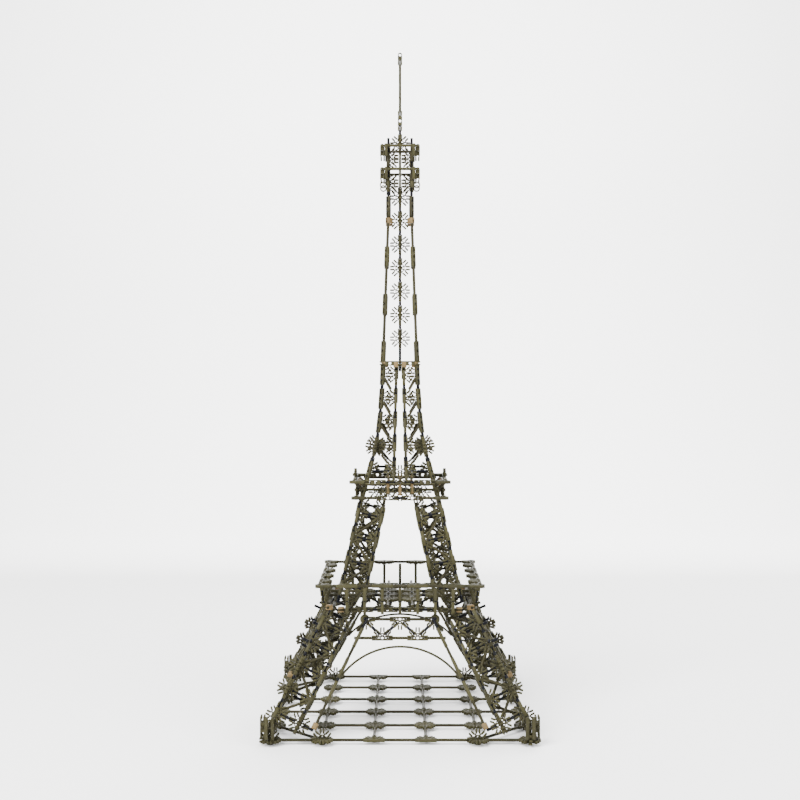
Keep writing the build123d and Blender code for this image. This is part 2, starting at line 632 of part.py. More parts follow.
# ---------------------------------------------------------------- mast
def build_mast():
    stub, coupler = Group("mast_stub"), Group("mast_coupler")
    mast, cap = Group("mast_rod"), Group("mast_cap")
    crown, joint, tip = at(0, 0, CABIN_CEILING), at(0, 0, 12.43), at(0, 0, 13.83)
    stub.span(crown, joint)
    coupler.put(STRAIGHT, facing(joint, (0, 0, 1), (0, -1, 0)))
    mast.span(joint, tip)
    cap.put(ENDER, facing(tip, (0, 0, -1), (0, -1, 0)))
    for group in (stub, coupler, mast, cap):
        write_node(group.name, group.pieces)


os.makedirs("parts", exist_ok=True)
tan_clips = Group("tan_clips")
build_grid()
build_legs()
build_face(tan_clips)
build_platform(tan_clips)
build_shoulders()
build_gallery(tan_clips)
build_shaft(tan_clips)
build_spire()
build_cabin(tan_clips)
build_mast()
tan_clips.write()
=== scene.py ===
"""Finished look of a lattice tower model built from snap-together rods and flat connectors."""

import json
import math

import bpy
import numpy as np
from bpy.props import FloatProperty, FloatVectorProperty, PointerProperty
from mathutils.geometry import tessellate_polygon
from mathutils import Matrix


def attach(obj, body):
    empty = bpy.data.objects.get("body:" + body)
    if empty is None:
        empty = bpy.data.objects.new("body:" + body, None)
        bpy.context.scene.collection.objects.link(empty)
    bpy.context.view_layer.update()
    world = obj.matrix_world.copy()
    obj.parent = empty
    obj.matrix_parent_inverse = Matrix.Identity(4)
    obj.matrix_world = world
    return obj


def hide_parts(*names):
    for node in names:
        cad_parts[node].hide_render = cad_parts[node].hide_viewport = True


bl_info = {
    "name": "Lattice Tower Model",
    "version": (1, 0, 0),
    "blender": (4, 5, 0),
    "location": "View3D > Sidebar > Tower",
    "description": "Builds a tower of snap-together rods and connectors round its packed frame",
    "category": "Object",
}

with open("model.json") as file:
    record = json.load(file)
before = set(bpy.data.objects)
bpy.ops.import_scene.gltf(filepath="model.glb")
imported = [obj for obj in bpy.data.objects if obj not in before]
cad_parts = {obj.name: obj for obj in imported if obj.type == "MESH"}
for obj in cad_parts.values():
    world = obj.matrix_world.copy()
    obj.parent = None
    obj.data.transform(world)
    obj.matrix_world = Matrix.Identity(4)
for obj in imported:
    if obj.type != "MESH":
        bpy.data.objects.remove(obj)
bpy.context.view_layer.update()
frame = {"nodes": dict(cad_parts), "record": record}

MM = 0.001
BAY = 53.03 * MM
GRID_HEIGHT = 4.9 * MM

# Sizes that the finished pieces share with the frame's, in millimetres
PLATE_THICKNESS = 3.2
CLIP_LENGTH = 6.4
JAW_REACH = 11.35
JAW_WIDTH = 5.0
CLIP_SOCKET = 5.1
ROD_RADIUS = 1.55
NECK_RADIUS = 1.15
HUB_RADIUS = 5.2
SLOT_HALF = 1.65
SLOT_MOUTH = 4.93  # from a hub's centre to the end of its slot
RING_RADIUS = 3.7
CLIP_RADIUS = 2.9

# Sizes of the finished pieces alone, in millimetres
POCKET_START, POCKET_END, POCKET_HALF = 5.05, 6.3, 1.62  # where a jaw holds the button of a rod
THROAT_START = 7.0
WINDOW_CENTRE, WINDOW_RADIUS = 3.6, 0.98  # small holes between a hub and its jaws
SLOT_CORNER = 5.185  # like SLOT_MOUTH, on the side where the slot meets a jaw
BACK_HEEL = 4.5  # half length of the short straight back beside a slot
RING_HOLE = 2.5
CLIP_HOLE = 1.62
BUTTON_RADIUS = 1.5
ARCH_RIB, ARCH_GROOVE, ARCH_SLEEVE = 1.3, 1.16, 1.5  # radii along a flexible rod

# Reading the frame, in millimetres
WELD = 0.002  # corners closer than this are one
FLATNESS = 0.03  # how far a corner may lie from a flat face
LEAST_AREA = 0.02  # twice the area of the smallest triangle that can give a face's direction
SIZE_TOLERANCE = 0.05
SLOT_SEARCH = 0.3  # how near a corner has to be to where a slot's mouth is looked for
RADIUS_TOLERANCE = 0.1
SHORT_BACK = 3.0  # a straight back nearer than this cuts off the whole rim of the hub

# Noise over the plastics, in features for each metre
STREAK_SCALE, CLOUD_SCALE, GRAIN_SCALE = 210.0, 46.0, 2600.0


# ---------------------------------------------------------------- settings
class TowerPieceSettings(bpy.types.PropertyGroup):
    """Shape details of the moulded pieces."""

    chamfer: FloatProperty(
        name="Edge chamfer",
        description="Broken edge round each connector",
        default=0.2 * MM,
        unit="LENGTH",
    )
    finger_gap: FloatProperty(
        name="Finger gap",
        description="Opening between a jaw's fingers",
        default=1.4 * MM,
        unit="LENGTH",
    )
    fin_thickness: FloatProperty(
        name="Fin thickness",
        description="Thickness of the four fins of a rod",
        default=1.1 * MM,
        unit="LENGTH",
    )
    neck_radius: FloatProperty(
        name="Neck radius",
        description="Radius of a rod's neck in a jaw",
        default=0.7 * MM,
        unit="LENGTH",
    )
    rim_height: FloatProperty(
        name="Hub rim height",
        description="Height of the raised ring round a hub",
        default=0.22 * MM,
        unit="LENGTH",
    )


class TowerFinishSettings(bpy.types.PropertyGroup):
    """Colours and wear of the plastics."""

    olive: FloatVectorProperty(
        name="Olive",
        description="Bronze olive of the connectors",
        default=(0.027, 0.0245, 0.0095),
        size=3,
        subtype="COLOR",
    )
    olive_rod: FloatVectorProperty(
        name="Olive rods",
        description="Bronze olive of the rods",
        default=(0.022, 0.0195, 0.0085),
        size=3,
        subtype="COLOR",
    )
    black: FloatVectorProperty(
        name="Black",
        description="Blue black of the short rods",
        default=(0.0016, 0.0019, 0.0032),
        size=3,
        subtype="COLOR",
    )
    tan: FloatVectorProperty(
        name="Tan",
        description="Tan of the clips",
        default=(0.125, 0.084, 0.036),
        size=3,
        subtype="COLOR",
    )
    grey: FloatVectorProperty(
        name="Grey",
        description="Light grey of the core rod",
        default=(0.17, 0.165, 0.125),
        size=3,
        subtype="COLOR",
    )
    mottling: FloatProperty(
        name="Mottling",
        description="Strength of the streaks in the plastic",
        default=0.8,
        min=0,
        max=1,
        subtype="FACTOR",
    )
    wear: FloatProperty(
        name="Edge wear",
        description="Lightening of handled edges",
        default=0.35,
        min=0,
        max=1,
        subtype="FACTOR",
    )


class TowerStageSettings(bpy.types.PropertyGroup):
    """Studio round the tower."""

    camera_distance: FloatProperty(
        name="Camera distance", description="From the tower's axis", default=26.4 * BAY, unit="LENGTH"
    )
    camera_height: FloatProperty(
        name="Camera height",
        description="Above the floor",
        default=7.06 * BAY + GRID_HEIGHT,
        unit="LENGTH",
    )
    floor_color: FloatVectorProperty(
        name="Floor colour",
        description="Floor and backdrop",
        default=(0.95, 0.95, 0.945),
        size=3,
        subtype="COLOR",
    )
    key_power: FloatProperty(
        name="Key light",
        description="Power of the large soft light",
        default=240.0,
        min=0,
        unit="POWER",
    )
    sky_strength: FloatProperty(
        name="Surrounding light", description="Strength of the white surroundings", default=1.25, min=0
    )


# ---------------------------------------------------------------- shader expressions
class Value:
    """A number that varies over a surface. Sums, differences and products of it add Math nodes."""

    def __init__(self, finish, socket):
        self.finish = finish
        self.socket = socket

    def math(self, operation, first, second):
        made = self.finish.node("ShaderNodeMath", {"operation": operation}, {0: first, 1: second})
        return Value(self.finish, made.outputs[0])

    def __add__(self, other):
        return self.math("ADD", self, other)

    def __radd__(self, other):
        return self.math("ADD", other, self)

    def __rsub__(self, other):
        return self.math("SUBTRACT", other, self)

    def __mul__(self, other):
        return self.math("MULTIPLY", self, other)

    def __rmul__(self, other):
        return self.math("MULTIPLY", other, self)


class Finish:
    """A material under construction."""

    def __init__(self, name):
        self.material = bpy.data.materials.new(name)
        self.material.use_nodes = True
        self.tree = self.material.node_tree
        self.shader = self.tree.nodes["Principled BSDF"]

    def feed(self, target, source):
        """Links a varying value to an input, or sets the input to a constant."""
        if isinstance(source, Value):
            source = source.socket
        if isinstance(source, bpy.types.NodeSocket):
            self.tree.links.new(source, target)
        else:
            target.default_value = source

    def node(self, kind, settings, inputs):
        """Adds a node with its settings and inputs."""
        made = self.tree.nodes.new(kind)
        for key, setting in settings.items():
            setattr(made, key, setting)
        for key, source in inputs.items():
            self.feed(made.inputs[key], source)
        return made

    def noise(self, place, scale, detail=3.0, roughness=0.55):
        """Noise from 0 to 1 over the surface."""
        inputs = {"Vector": place, "Scale": scale, "Detail": detail, "Roughness": roughness}
        made = self.node("ShaderNodeTexNoise", {}, inputs)
        return Value(self, made.outputs[0])

    def clamped(self, number, low, high):
        """0 below low, 1 above high, smooth between."""
        made = self.node(
            "ShaderNodeMapRange",
            {"interpolation_type": "SMOOTHSTEP"},
            {"Value": number, "From Min": low, "From Max": high, "To Min": 0.0, "To Max": 1.0},
        )
        return Value(self, made.outputs[0])

    def attribute(self, name):
        """Weight from 0 to 1 that the mesh carries under this name."""
        made = self.node("ShaderNodeAttribute", {"attribute_name": name}, {})
        return Value(self, made.outputs["Fac"])

    def blend(self, factor, first, second):
        """Mix of two colours."""
        settings = {"data_type": "RGBA", "blend_type": "MIX", "clamp_factor": True}
        made = self.node("ShaderNodeMix", settings, {0: factor, 6: first, 7: second})
        return made.outputs[2]


def rgba(color, gain=1.0):
    """The colour times a gain, with full opacity."""
    return (color[0] * gain, color[1] * gain, color[2] * gain, 1.0)


def plastic(name, color, dark, light, roughness, mottling, wear):
    """Moulded plastic: darker streaks, each piece a little lighter or darker, and paler handled edges.

    dark and light are gains of the colour.
    """
    finish = Finish(name)
    place = finish.node("ShaderNodeTexCoord", {}, {}).outputs["Object"]
    upright = {0: place, 1: (1.0, 1.0, 0.45)}
    stretched = finish.node("ShaderNodeVectorMath", {"operation": "MULTIPLY"}, upright)
    streaks = finish.noise(stretched.outputs[0], STREAK_SCALE, 4.0, 0.6)
    cloud = finish.noise(place, CLOUD_SCALE, 2.0)
    grain = finish.noise(place, GRAIN_SCALE, 2.0)
    piece = finish.attribute("piece")
    edge = finish.attribute("edge")
    murk = finish.clamped(streaks * 0.6 + cloud * 0.4, 0.36, 0.62)
    base = finish.blend(murk * mottling, rgba(color), rgba(color, dark))
    base = finish.blend(finish.clamped(piece, 0.35, 1.0) * 0.45, base, rgba(color, light))
    base = finish.blend(finish.clamped(1.0 - piece, 0.62, 1.0) * 0.5, base, rgba(color, dark))
    worn = edge * finish.clamped(streaks + grain * 0.25, 0.42, 0.72) * wear
    base = finish.blend(worn, base, rgba([channel**0.72 for channel in color], 0.82))
    finish.feed(finish.shader.inputs["Base Color"], base)
    sheen = roughness + 0.14 * streaks + 0.1 * (1.0 - edge) * cloud
    finish.feed(finish.shader.inputs["Roughness"], sheen)
    height = grain * 0.5 + streaks * 0.5
    bump = finish.node("ShaderNodeBump", {}, {"Strength": 0.22, "Distance": 0.00012, "Height": height})
    finish.feed(finish.shader.inputs["Normal"], bump.outputs[0])
    finish.shader.inputs["Specular IOR Level"].default_value = 0.1
    return finish.material


FINISHES = {}


def finish_for(slot, settings):
    """The finish of one of the record's material slots, made once."""
    if slot not in FINISHES:
        mottling, wear = settings.mottling, settings.wear
        # colour, gains of its dark and light tones, roughness, mottling, wear
        recipes = {
            "olive_plastic": (settings.olive, 0.30, 1.55, 0.46, mottling, wear),
            "olive_rod_plastic": (settings.olive_rod, 0.34, 1.4, 0.38, mottling, wear),
            "black_plastic": (settings.black, 0.5, 2.2, 0.26, mottling * 0.6, wear * 0.5),
            "tan_plastic": (settings.tan, 0.6, 1.3, 0.40, mottling * 0.7, wear * 0.6),
            "grey_plastic": (settings.grey, 0.7, 1.15, 0.38, mottling * 0.6, wear * 0.4),
        }
        FINISHES[slot] = plastic(slot, *recipes[slot])
    return FINISHES[slot]


# ---------------------------------------------------------------- piece shapes, in millimetres
def turned(points, angle):
    """The points, turned anticlockwise by an angle in degrees."""
    c, s = math.cos(math.radians(angle)), math.sin(math.radians(angle))
    return [(x * c - y * s, x * s + y * c) for x, y in points]


def arc(radius, start, stop, steps, centre=(0.0, 0.0)):
    """Points along an arc between two angles in degrees."""
    angles = [math.radians(start + (stop - start) * step / steps) for step in range(steps + 1)]
    return [(centre[0] + radius * math.cos(a), centre[1] + radius * math.sin(a)) for a in angles]


def jaw(gap):
    """One side of a jaw that points along X, from its outer flank round the finger to the pocket."""
    outer, inner = JAW_WIDTH / 2, gap / 2
    return [
        (JAW_REACH - 0.95, -outer),
        (JAW_REACH - 0.25, -outer + 0.25),
        (JAW_REACH, -outer + 0.65),
        (JAW_REACH - 0.1, -inner - 0.2),
        (JAW_REACH - 0.6, -inner),
        (THROAT_START, -inner - 0.06),
        (POCKET_END, -POCKET_HALF),
        (POCKET_START, -POCKET_HALF),
    ]


def inset(loop, amount):
    """The loop moved sideways into the material, which lies on its left."""
    count = len(loop)
    moved = []
    for index, (x, y) in enumerate(loop):
        before, after = loop[index - 1], loop[(index + 1) % count]
        normals = []
        for (ax, ay), (bx, by) in ((before, (x, y)), ((x, y), after)):
            length = math.hypot(bx - ax, by - ay) or 1.0
            normals.append((-(by - ay) / length, (bx - ax) / length))
        sx, sy = normals[0][0] + normals[1][0], normals[0][1] + normals[1][1]
        size = math.hypot(sx, sy) or 1.0
        cosine = max(0.5, (sx * normals[0][0] + sy * normals[0][1]) / size)
        moved.append((x + sx / size * amount / cosine, y + sy / size * amount / cosine))
    return moved


class Shape:
    """Triangles of one moulded piece, with a weight on the corners that are handled most."""

    def __init__(self):
        self.points, self.faces, self.edge = [], [], []

    def loop(self, points, height, edge):
        """Adds the points at one height, and gives the number of the first."""
        start = len(self.points)
        self.points += [(x, y, height) for x, y in points]
        self.edge += [edge] * len(points)
        return start

    def wall(self, low, high, count):
        """Side wall between two loops of one length. The material is on the left of each loop."""
        for index in range(count):
            after = (index + 1) % count
            self.faces.append((low + index, low + after, high + after))
            self.faces.append((low + index, high + after, high + index))

    def arrays(self):
        return np.array(self.points), np.array(self.faces, dtype=np.int64), np.array(self.edge)


def slab(outline, holes, thickness, chamfer):
    """Flat piece with a chamfered outline and plain holes. Outline runs anticlockwise, holes clockwise."""
    shape = Shape()
    half = thickness / 2
    narrow = inset(outline, chamfer)
    loops = [narrow] + holes
    for side in (1, -1):
        weights = [1.0] + [0.4] * len(holes)
        starts = [shape.loop(points, side * half, weight) for points, weight in zip(loops, weights)]
        flat = tessellate_polygon([[(x, y, 0.0) for x, y in points] for points in loops])
        for a, b, c in flat:
            triangle = (starts[0] + a, starts[0] + b, starts[0] + c)
            pa, pb, pc = (shape.points[index] for index in triangle)
            upwards = (pb[0] - pa[0]) * (pc[1] - pa[1]) - (pb[1] - pa[1]) * (pc[0] - pa[0]) > 0
            shape.faces.append(triangle if upwards == (side == 1) else triangle[::-1])
        if side == 1:
            top = starts
        else:
            bottom = starts
    upper = shape.loop(outline, half - chamfer, 0.8)
    lower = shape.loop(outline, chamfer - half, 0.8)
    count = len(outline)
    shape.wall(bottom[0], lower, count)
    shape.wall(lower, upper, count)
    shape.wall(upper, top[0], count)
    for index, points in enumerate(holes, start=1):
        shape.wall(bottom[index], top[index], len(points))
    return shape


def hub_rim(shape, thickness, height):
    """Raised ring round the hub hole, on both faces."""
    sides = 12
    for side in (1, -1):
        base = thickness / 2 * side
        top = base + side * height
        rings = [(2.45, base), (2.35, top), (1.85, top), (1.75, base)]
        starts = [
            shape.loop(arc(radius, 0, 360, sides)[:-1], level, 0.3 if level == base else 1.0)
            for radius, level in rings
        ]
        for low, high in zip(starts[:-1], starts[1:]):
            if side == 1:
                shape.wall(low, high, sides)
            else:
                shape.wall(high, low, sides)


def connector_shape(arms, slotted, back, settings):
    """Flat connector in XY: arms are its jaw angles, with the half slot along -X where there is one.

    back is the distance to its straight back, on the -Y side.
    """
    gap = settings.finger_gap / MM
    lower = jaw(gap)
    upper = [(x, -y) for x, y in reversed(lower)]
    hub = HUB_RADIUS if len(arms) > 2 else JAW_WIDTH / 2
    spread = math.degrees(math.asin(min(1.0, JAW_WIDTH / 2 / hub)))
    valley = JAW_WIDTH / 2 / math.tan(math.radians(22.5))
    straight = back is not None and back < SHORT_BACK
    outline = []
    for index, angle in enumerate(arms):
        outline += turned(lower + upper, angle)
        following = arms[(index + 1) % len(arms)] + (360 if index == len(arms) - 1 else 0)
        gap_angle = following - angle
        if gap_angle == 45:
            outline += turned([(valley, JAW_WIDTH / 2)], angle)
            continue
        holds_slot = slotted and angle < 180 < following
        if holds_slot:
            outline += [(-SLOT_CORNER, SLOT_HALF)] + arc(SLOT_HALF, 90, -90, 6)
            if gap_angle == 90:
                outline += [(-SLOT_CORNER, -SLOT_HALF)]
                continue
            start = 180 + math.degrees(math.asin(SLOT_HALF / hub))
        else:
            start = angle + spread
        stop = following - spread
        if straight:
            outline += [(-SLOT_MOUTH, -SLOT_HALF), (-BACK_HEEL, -back)] if holds_slot else []
            continue
        steps = max(1, round((stop - start) / 20))
        rim = arc(hub, start, stop, steps) if stop - start > 1 else arc(hub, start, start, 1)[:1]
        outline += [(x, y if back is None else max(y, -back)) for x, y in rim]
    holes = []
    if not slotted:
        holes.append(arc(SLOT_HALF, 360, 0, 12)[:-1])
    if len(arms) > 2:
        for angle in arms:
            centre = turned([(WINDOW_CENTRE, 0.0)], angle)[0]
            holes.append(arc(WINDOW_RADIUS, 360, 0, 8, centre)[:-1])
    shape = slab(outline, holes, PLATE_THICKNESS, settings.chamfer / MM)
    if not slotted and len(arms) > 2:
        hub_rim(shape, PLATE_THICKNESS, settings.rim_height / MM)
    return shape.arrays()


def ring_shape():
    """Plain ring with rounded edges."""
    shape = Shape()
    sides, half = 20, PLATE_THICKNESS / 2
    outer_edge, inner_edge = 0.3, 0.25
    profile = [
        (RING_RADIUS - outer_edge, -half),
        (RING_RADIUS, outer_edge - half),
        (RING_RADIUS, half - outer_edge),
        (RING_RADIUS - outer_edge, half),
        (RING_HOLE + inner_edge, half),
        (RING_HOLE, half - inner_edge),
        (RING_HOLE, inner_edge - half),
        (RING_HOLE + inner_edge, -half),
    ]
    starts = [shape.loop(arc(radius, 0, 360, sides)[:-1], height, 0.7) for radius, height in profile]
    for low, high in zip(starts, starts[1:] + starts[:1]):
        shape.wall(low, high, sides)
    return shape.arrays()


def clip_shape():
    """Open snap ring round Z with a short socket along X."""
    half = JAW_WIDTH / 2
    start = math.degrees(math.asin(half / CLIP_RADIUS))
    bevel, chamfer = 0.5, 0.3
    mouth_outside = 24.0  # degrees on each side of the opening
    mouth_inside = mouth_outside * 1.6
    outline = [(CLIP_SOCKET - bevel, -half), (CLIP_SOCKET, -half + bevel)]
    outline += [(CLIP_SOCKET, half - bevel), (CLIP_SOCKET - bevel, half)]
    outline += arc(CLIP_RADIUS, start, 180 - mouth_outside, 6)
    outline += arc(CLIP_HOLE, 180 - mouth_inside, -180 + mouth_inside, 12)
    outline += arc(CLIP_RADIUS, 180 + mouth_outside, 360 - start, 6)
    return slab(outline, [], CLIP_LENGTH, chamfer).arrays()


def rod_shape(length, low_neck, high_neck, settings):
    """Rod along Z: four fins between collars, and a button and neck at each end that a jaw holds."""
    fin, neck = settings.fin_thickness / MM / 2, settings.neck_radius / MM
    tip = math.sqrt(ROD_RADIUS**2 - fin**2)
    core = fin + 0.12

    def section(kind, radius):
        points = []
        for quarter in range(4):
            if kind == "fins":
                corner = [(tip, -fin), (tip, fin), (core, core)]
            else:
                corner = arc(radius, -20, 20, 1) + arc(radius, 45, 45, 1)[:1]
            points += turned(corner, 90 * quarter)
        return points

    def end(necked):
        """Stations from an end towards the middle: distance, section, edge weight."""
        if necked:
            return [
                (0.0, "round", 1.2, 0.6),
                (0.2, "round", BUTTON_RADIUS, 1.0),
                (1.15, "round", BUTTON_RADIUS, 1.0),
                (1.35, "round", neck, 0.0),
                (5.9, "round", neck, 0.0),
                (6.3, "round", 1.25, 0.4),
                (6.5, "round", ROD_RADIUS, 1.0),
                (7.4, "round", ROD_RADIUS, 1.0),
                (7.6, "fins", 0.0, 0.5),
            ]
        return [
            (0.0, "round", 1.25, 0.6),
            (0.25, "round", ROD_RADIUS, 1.0),
            (1.6, "round", ROD_RADIUS, 1.0),
            (1.8, "fins", 0.0, 0.5),
        ]

    low, high = end(low_neck), end(high_neck)
    half, shortest_fins = length / 2, 0.6
    if length < low[-1][0] + high[-1][0] + shortest_fins:
        # too short for fins: only the round stations that fit are left
        low, high = (
            [station for station in stations if station[0] < half - 0.1 and station[1] == "round"]
            for stations in (low, high)
        )
    stations = [(distance - half, *rest) for distance, *rest in low]
    stations += [(half - distance, *rest) for distance, *rest in reversed(high)]
    shape = Shape()
    starts = [shape.loop(section(kind, radius), z, edge) for z, kind, radius, edge in stations]
    for lower, upper in zip(starts[:-1], starts[1:]):
        shape.wall(lower, upper, 12)
    for start, order in ((starts[0], -1), (starts[-1], 1)):
        for index in range(1, 11):
            shape.faces.append((start, start + index, start + index + 1)[::order])
    return shape.arrays()


# ---------------------------------------------------------------- reading the frame
def islands(node):
    """Loose parts of a node as (points in mm, triangles)."""
    mesh = node.data
    mesh.calc_loop_triangles()
    points = np.empty(len(mesh.vertices) * 3)
    mesh.vertices.foreach_get("co", points)
    matrix = np.array(node.matrix_world)
    points = points.reshape(-1, 3) @ matrix[:3, :3].T + matrix[:3, 3]
    triangles = np.empty(len(mesh.loop_triangles) * 3, dtype=np.int64)
    mesh.loop_triangles.foreach_get("vertices", triangles)
    cells = np.round(points / (MM * WELD)).astype(np.int64)
    first, welded = np.unique(cells, axis=0, return_index=True, return_inverse=True)[1:]
    points = points[first] / MM
    triangles = welded.reshape(-1)[triangles].reshape(-1, 3)
    label = np.arange(len(points))
    while True:
        lowest = label[triangles].min(axis=1)
        fresh = label.copy()
        for corner in range(3):
            np.minimum.at(fresh, triangles[:, corner], lowest)
        fresh = fresh[fresh]
        if np.array_equal(fresh, label):
            break
        label = fresh
    order = np.argsort(label[triangles[:, 0]], kind="stable")
    sorted_triangles = triangles[order]
    cuts = np.flatnonzero(np.diff(label[sorted_triangles[:, 0]])) + 1
    parts = []
    for group in np.split(sorted_triangles, cuts):
        used, local = np.unique(group, return_inverse=True)
        parts.append((points[used], local.reshape(-1, 3)))
    parts.sort(key=lambda part: tuple(np.round(part[0].mean(axis=0), 2)))
    return parts


def thin_direction(points, triangles):
    """Direction along which every point lies on one of two planes, and their distance apart."""
    a, b, c = (points[triangles[:, corner]] for corner in range(3))
    normals = np.cross(b - a, c - a)
    areas = np.linalg.norm(normals, axis=1)
    tried = set()
    for index in np.argsort(-areas):
        if areas[index] < LEAST_AREA:
            break
        direction = normals[index] / areas[index]
        code = tuple(np.round(direction * math.copysign(1.0, direction @ (1.0, 0.11, 0.013)), 2))
        if code in tried:
            continue
        tried.add(code)
        reach = points @ direction
        low, high = reach.min(), reach.max()
        if np.minimum(reach - low, high - reach).max() < FLATNESS and high - low > 1:
            return direction, high - low
    return None, 0.0


def hull(points):
    """Corners of the convex outline of 2D points, anticlockwise."""
    ordered = sorted(set(map(tuple, np.round(points, 4))))

    def half(sequence):
        chain = []
        for x, y in sequence:
            while len(chain) > 1:
                (ax, ay), (bx, by) = chain[-2:]
                if (bx - ax) * (y - ay) - (by - ay) * (x - ax) > 0.002:
                    break
                chain.pop()
            chain.append((x, y))
        return chain[:-1]

    return half(ordered) + half(ordered[::-1])


def flat_axes(normal):
    """Two directions at right angles to the normal and to each other."""
    side = np.array([1.0, 0.0, 0.0]) if abs(normal[0]) < 0.8 else np.array([0.0, 1.0, 0.0])
    first = np.cross(normal, side)
    first /= np.linalg.norm(first)
    return first, np.cross(normal, first)


def ends(points, normal, reach):
    """Centre, and direction angles of each jaw or socket end, of a flat piece."""
    first, second = flat_axes(normal)
    flat = np.stack([points @ first, points @ second], axis=1)
    corners = hull(flat)
    centres, angles = [], []
    for (ax, ay), (bx, by) in zip(corners, corners[1:] + corners[:1]):
        length = math.hypot(bx - ax, by - ay)
        if abs(length - JAW_WIDTH) < SIZE_TOLERANCE:
            dx, dy = (by - ay) / length, (ax - bx) / length
            centres.append(((ax + bx) / 2 - dx * reach, (ay + by) / 2 - dy * reach))
            angles.append(math.degrees(math.atan2(dy, dx)) % 360)
    if not centres:
        return None
    middle = np.median(np.array(centres), axis=0)
    return middle, sorted(angles), flat


def flat_place(point, normal):
    """A point's two coordinates across the normal."""
    first, second = flat_axes(normal)
    return point @ first, point @ second


def oriented(points, normal, middle, angle):
    """4 x 4 place of a flat piece whose X axis is at angle in its own plane."""
    first, second = flat_axes(normal)
    a = math.radians(angle)
    along = first * math.cos(a) + second * math.sin(a)
    depth = points @ normal
    origin = first * middle[0] + second * middle[1] + normal * (depth.min() + depth.max()) / 2
    place = np.eye(4)
    place[:3, 0], place[:3, 1], place[:3, 2], place[:3, 3] = along, np.cross(normal, along), normal, origin
    return place


def connector_key(points, normal):
    """Arms, slot and place of a connector, read from its outline."""
    found = ends(points, normal, JAW_REACH)
    if found is None:
        raise RuntimeError("a connector shows no jaws")
    middle, angles, flat = found
    count = len(angles)
    gaps = [(angles[(index + 1) % count] - angles[index]) % 360 or 360 for index in range(count)]
    start = angles[(int(np.argmax(gaps)) + 1) % count]
    if count == 7:
        return (0, 45, 90, 135, 225, 270, 315), True, oriented(points, normal, middle, start + 135)
    if count == 4:
        offsets = flat - middle

        def slot_at(angle):
            corners = turned([(SLOT_MOUTH, -SLOT_HALF), (SLOT_MOUTH, SLOT_HALF)], angle)
            return any(np.hypot(*(offsets - np.array(corner)).T).min() < SLOT_SEARCH for corner in corners)

        if slot_at(start + 180):
            return (0, 45, 90, 135), True, oriented(points, normal, middle, start)
        if slot_at(start - 45):
            # seen from its other face, so the arms run the other way round
            place = oriented(points, normal, middle, start + 135)
            place[:3, 1:3] *= -1
            return (0, 45, 90, 135), True, place
        raise RuntimeError("a quarter connector shows no slot")
    arms = {1: (0,), 2: (0, 180), 3: (0, 45, 90), 5: (0, 45, 90, 135, 180), 8: tuple(range(0, 360, 45))}
    return arms[count], False, oriented(points, normal, middle, start)


def rod_key(points, direction, length):
    """Length, necks and place of a rod."""
    centre = points.mean(axis=0)
    if direction is None:
        direction = np.linalg.eigh(np.cov((points - centre).T))[1][:, 2]
    reach = (points - centre) @ direction
    low, high = reach.min(), reach.max()
    radial = points - centre - np.outer(reach, direction)
    middle = (radial.max(axis=0) + radial.min(axis=0)) / 2
    radii = np.linalg.norm(radial - middle, axis=1)
    if radii.max() > ROD_RADIUS + RADIUS_TOLERANCE:
        return None
    thin, neck_end = np.abs(radii - NECK_RADIUS) < 0.06, 7.0
    necks = (bool((thin & (reach < low + neck_end)).any()), bool((thin & (reach > high - neck_end)).any()))
    first, second = flat_axes(direction)
    place = np.eye(4)
    place[:3, 0], place[:3, 1], place[:3, 2] = first, second, direction
    place[:3, 3] = centre + middle + direction * (low + high) / 2
    return (round(high - low, 1), *necks), place


SHAPES = {}


def shape_of(key, make):
    """A piece's shape, made the first time that it is needed."""
    if key not in SHAPES:
        SHAPES[key] = make()
    return SHAPES[key]


def replacement(points, triangles, settings):
    """Shape and place of the moulded piece that stands for one loose part of the frame."""
    direction, depth = thin_direction(points, triangles)
    if direction is not None and abs(depth - PLATE_THICKNESS) < SIZE_TOLERANCE:
        centre = (points.max(axis=0) + points.min(axis=0)) / 2
        extent = np.linalg.norm(points - centre, axis=1).max()
        if abs(extent - math.hypot(RING_RADIUS, depth / 2)) < RADIUS_TOLERANCE:
            place = oriented(centre[None], direction, flat_place(centre, direction), 0)
            return shape_of("ring", ring_shape), place
        arms, slotted, place = connector_key(points, direction)
        back = None
        if len(arms) in (4, 5):
            back = round(float(-((points - place[:3, 3]) @ place[:3, 1]).min()), 1)
        key = (arms, slotted, back)
        return shape_of(key, lambda: connector_shape(*key, settings)), place
    if direction is not None and abs(depth - CLIP_LENGTH) < SIZE_TOLERANCE:
        found = ends(points, direction, CLIP_SOCKET)
        if found is not None:
            middle, angles = found[:2]
            return shape_of("clip", clip_shape), oriented(points, direction, middle, angles[0])
    found = rod_key(points, direction, depth)
    if found is None:
        return None
    key, place = found
    return shape_of(key, lambda: rod_shape(*key, settings)), place


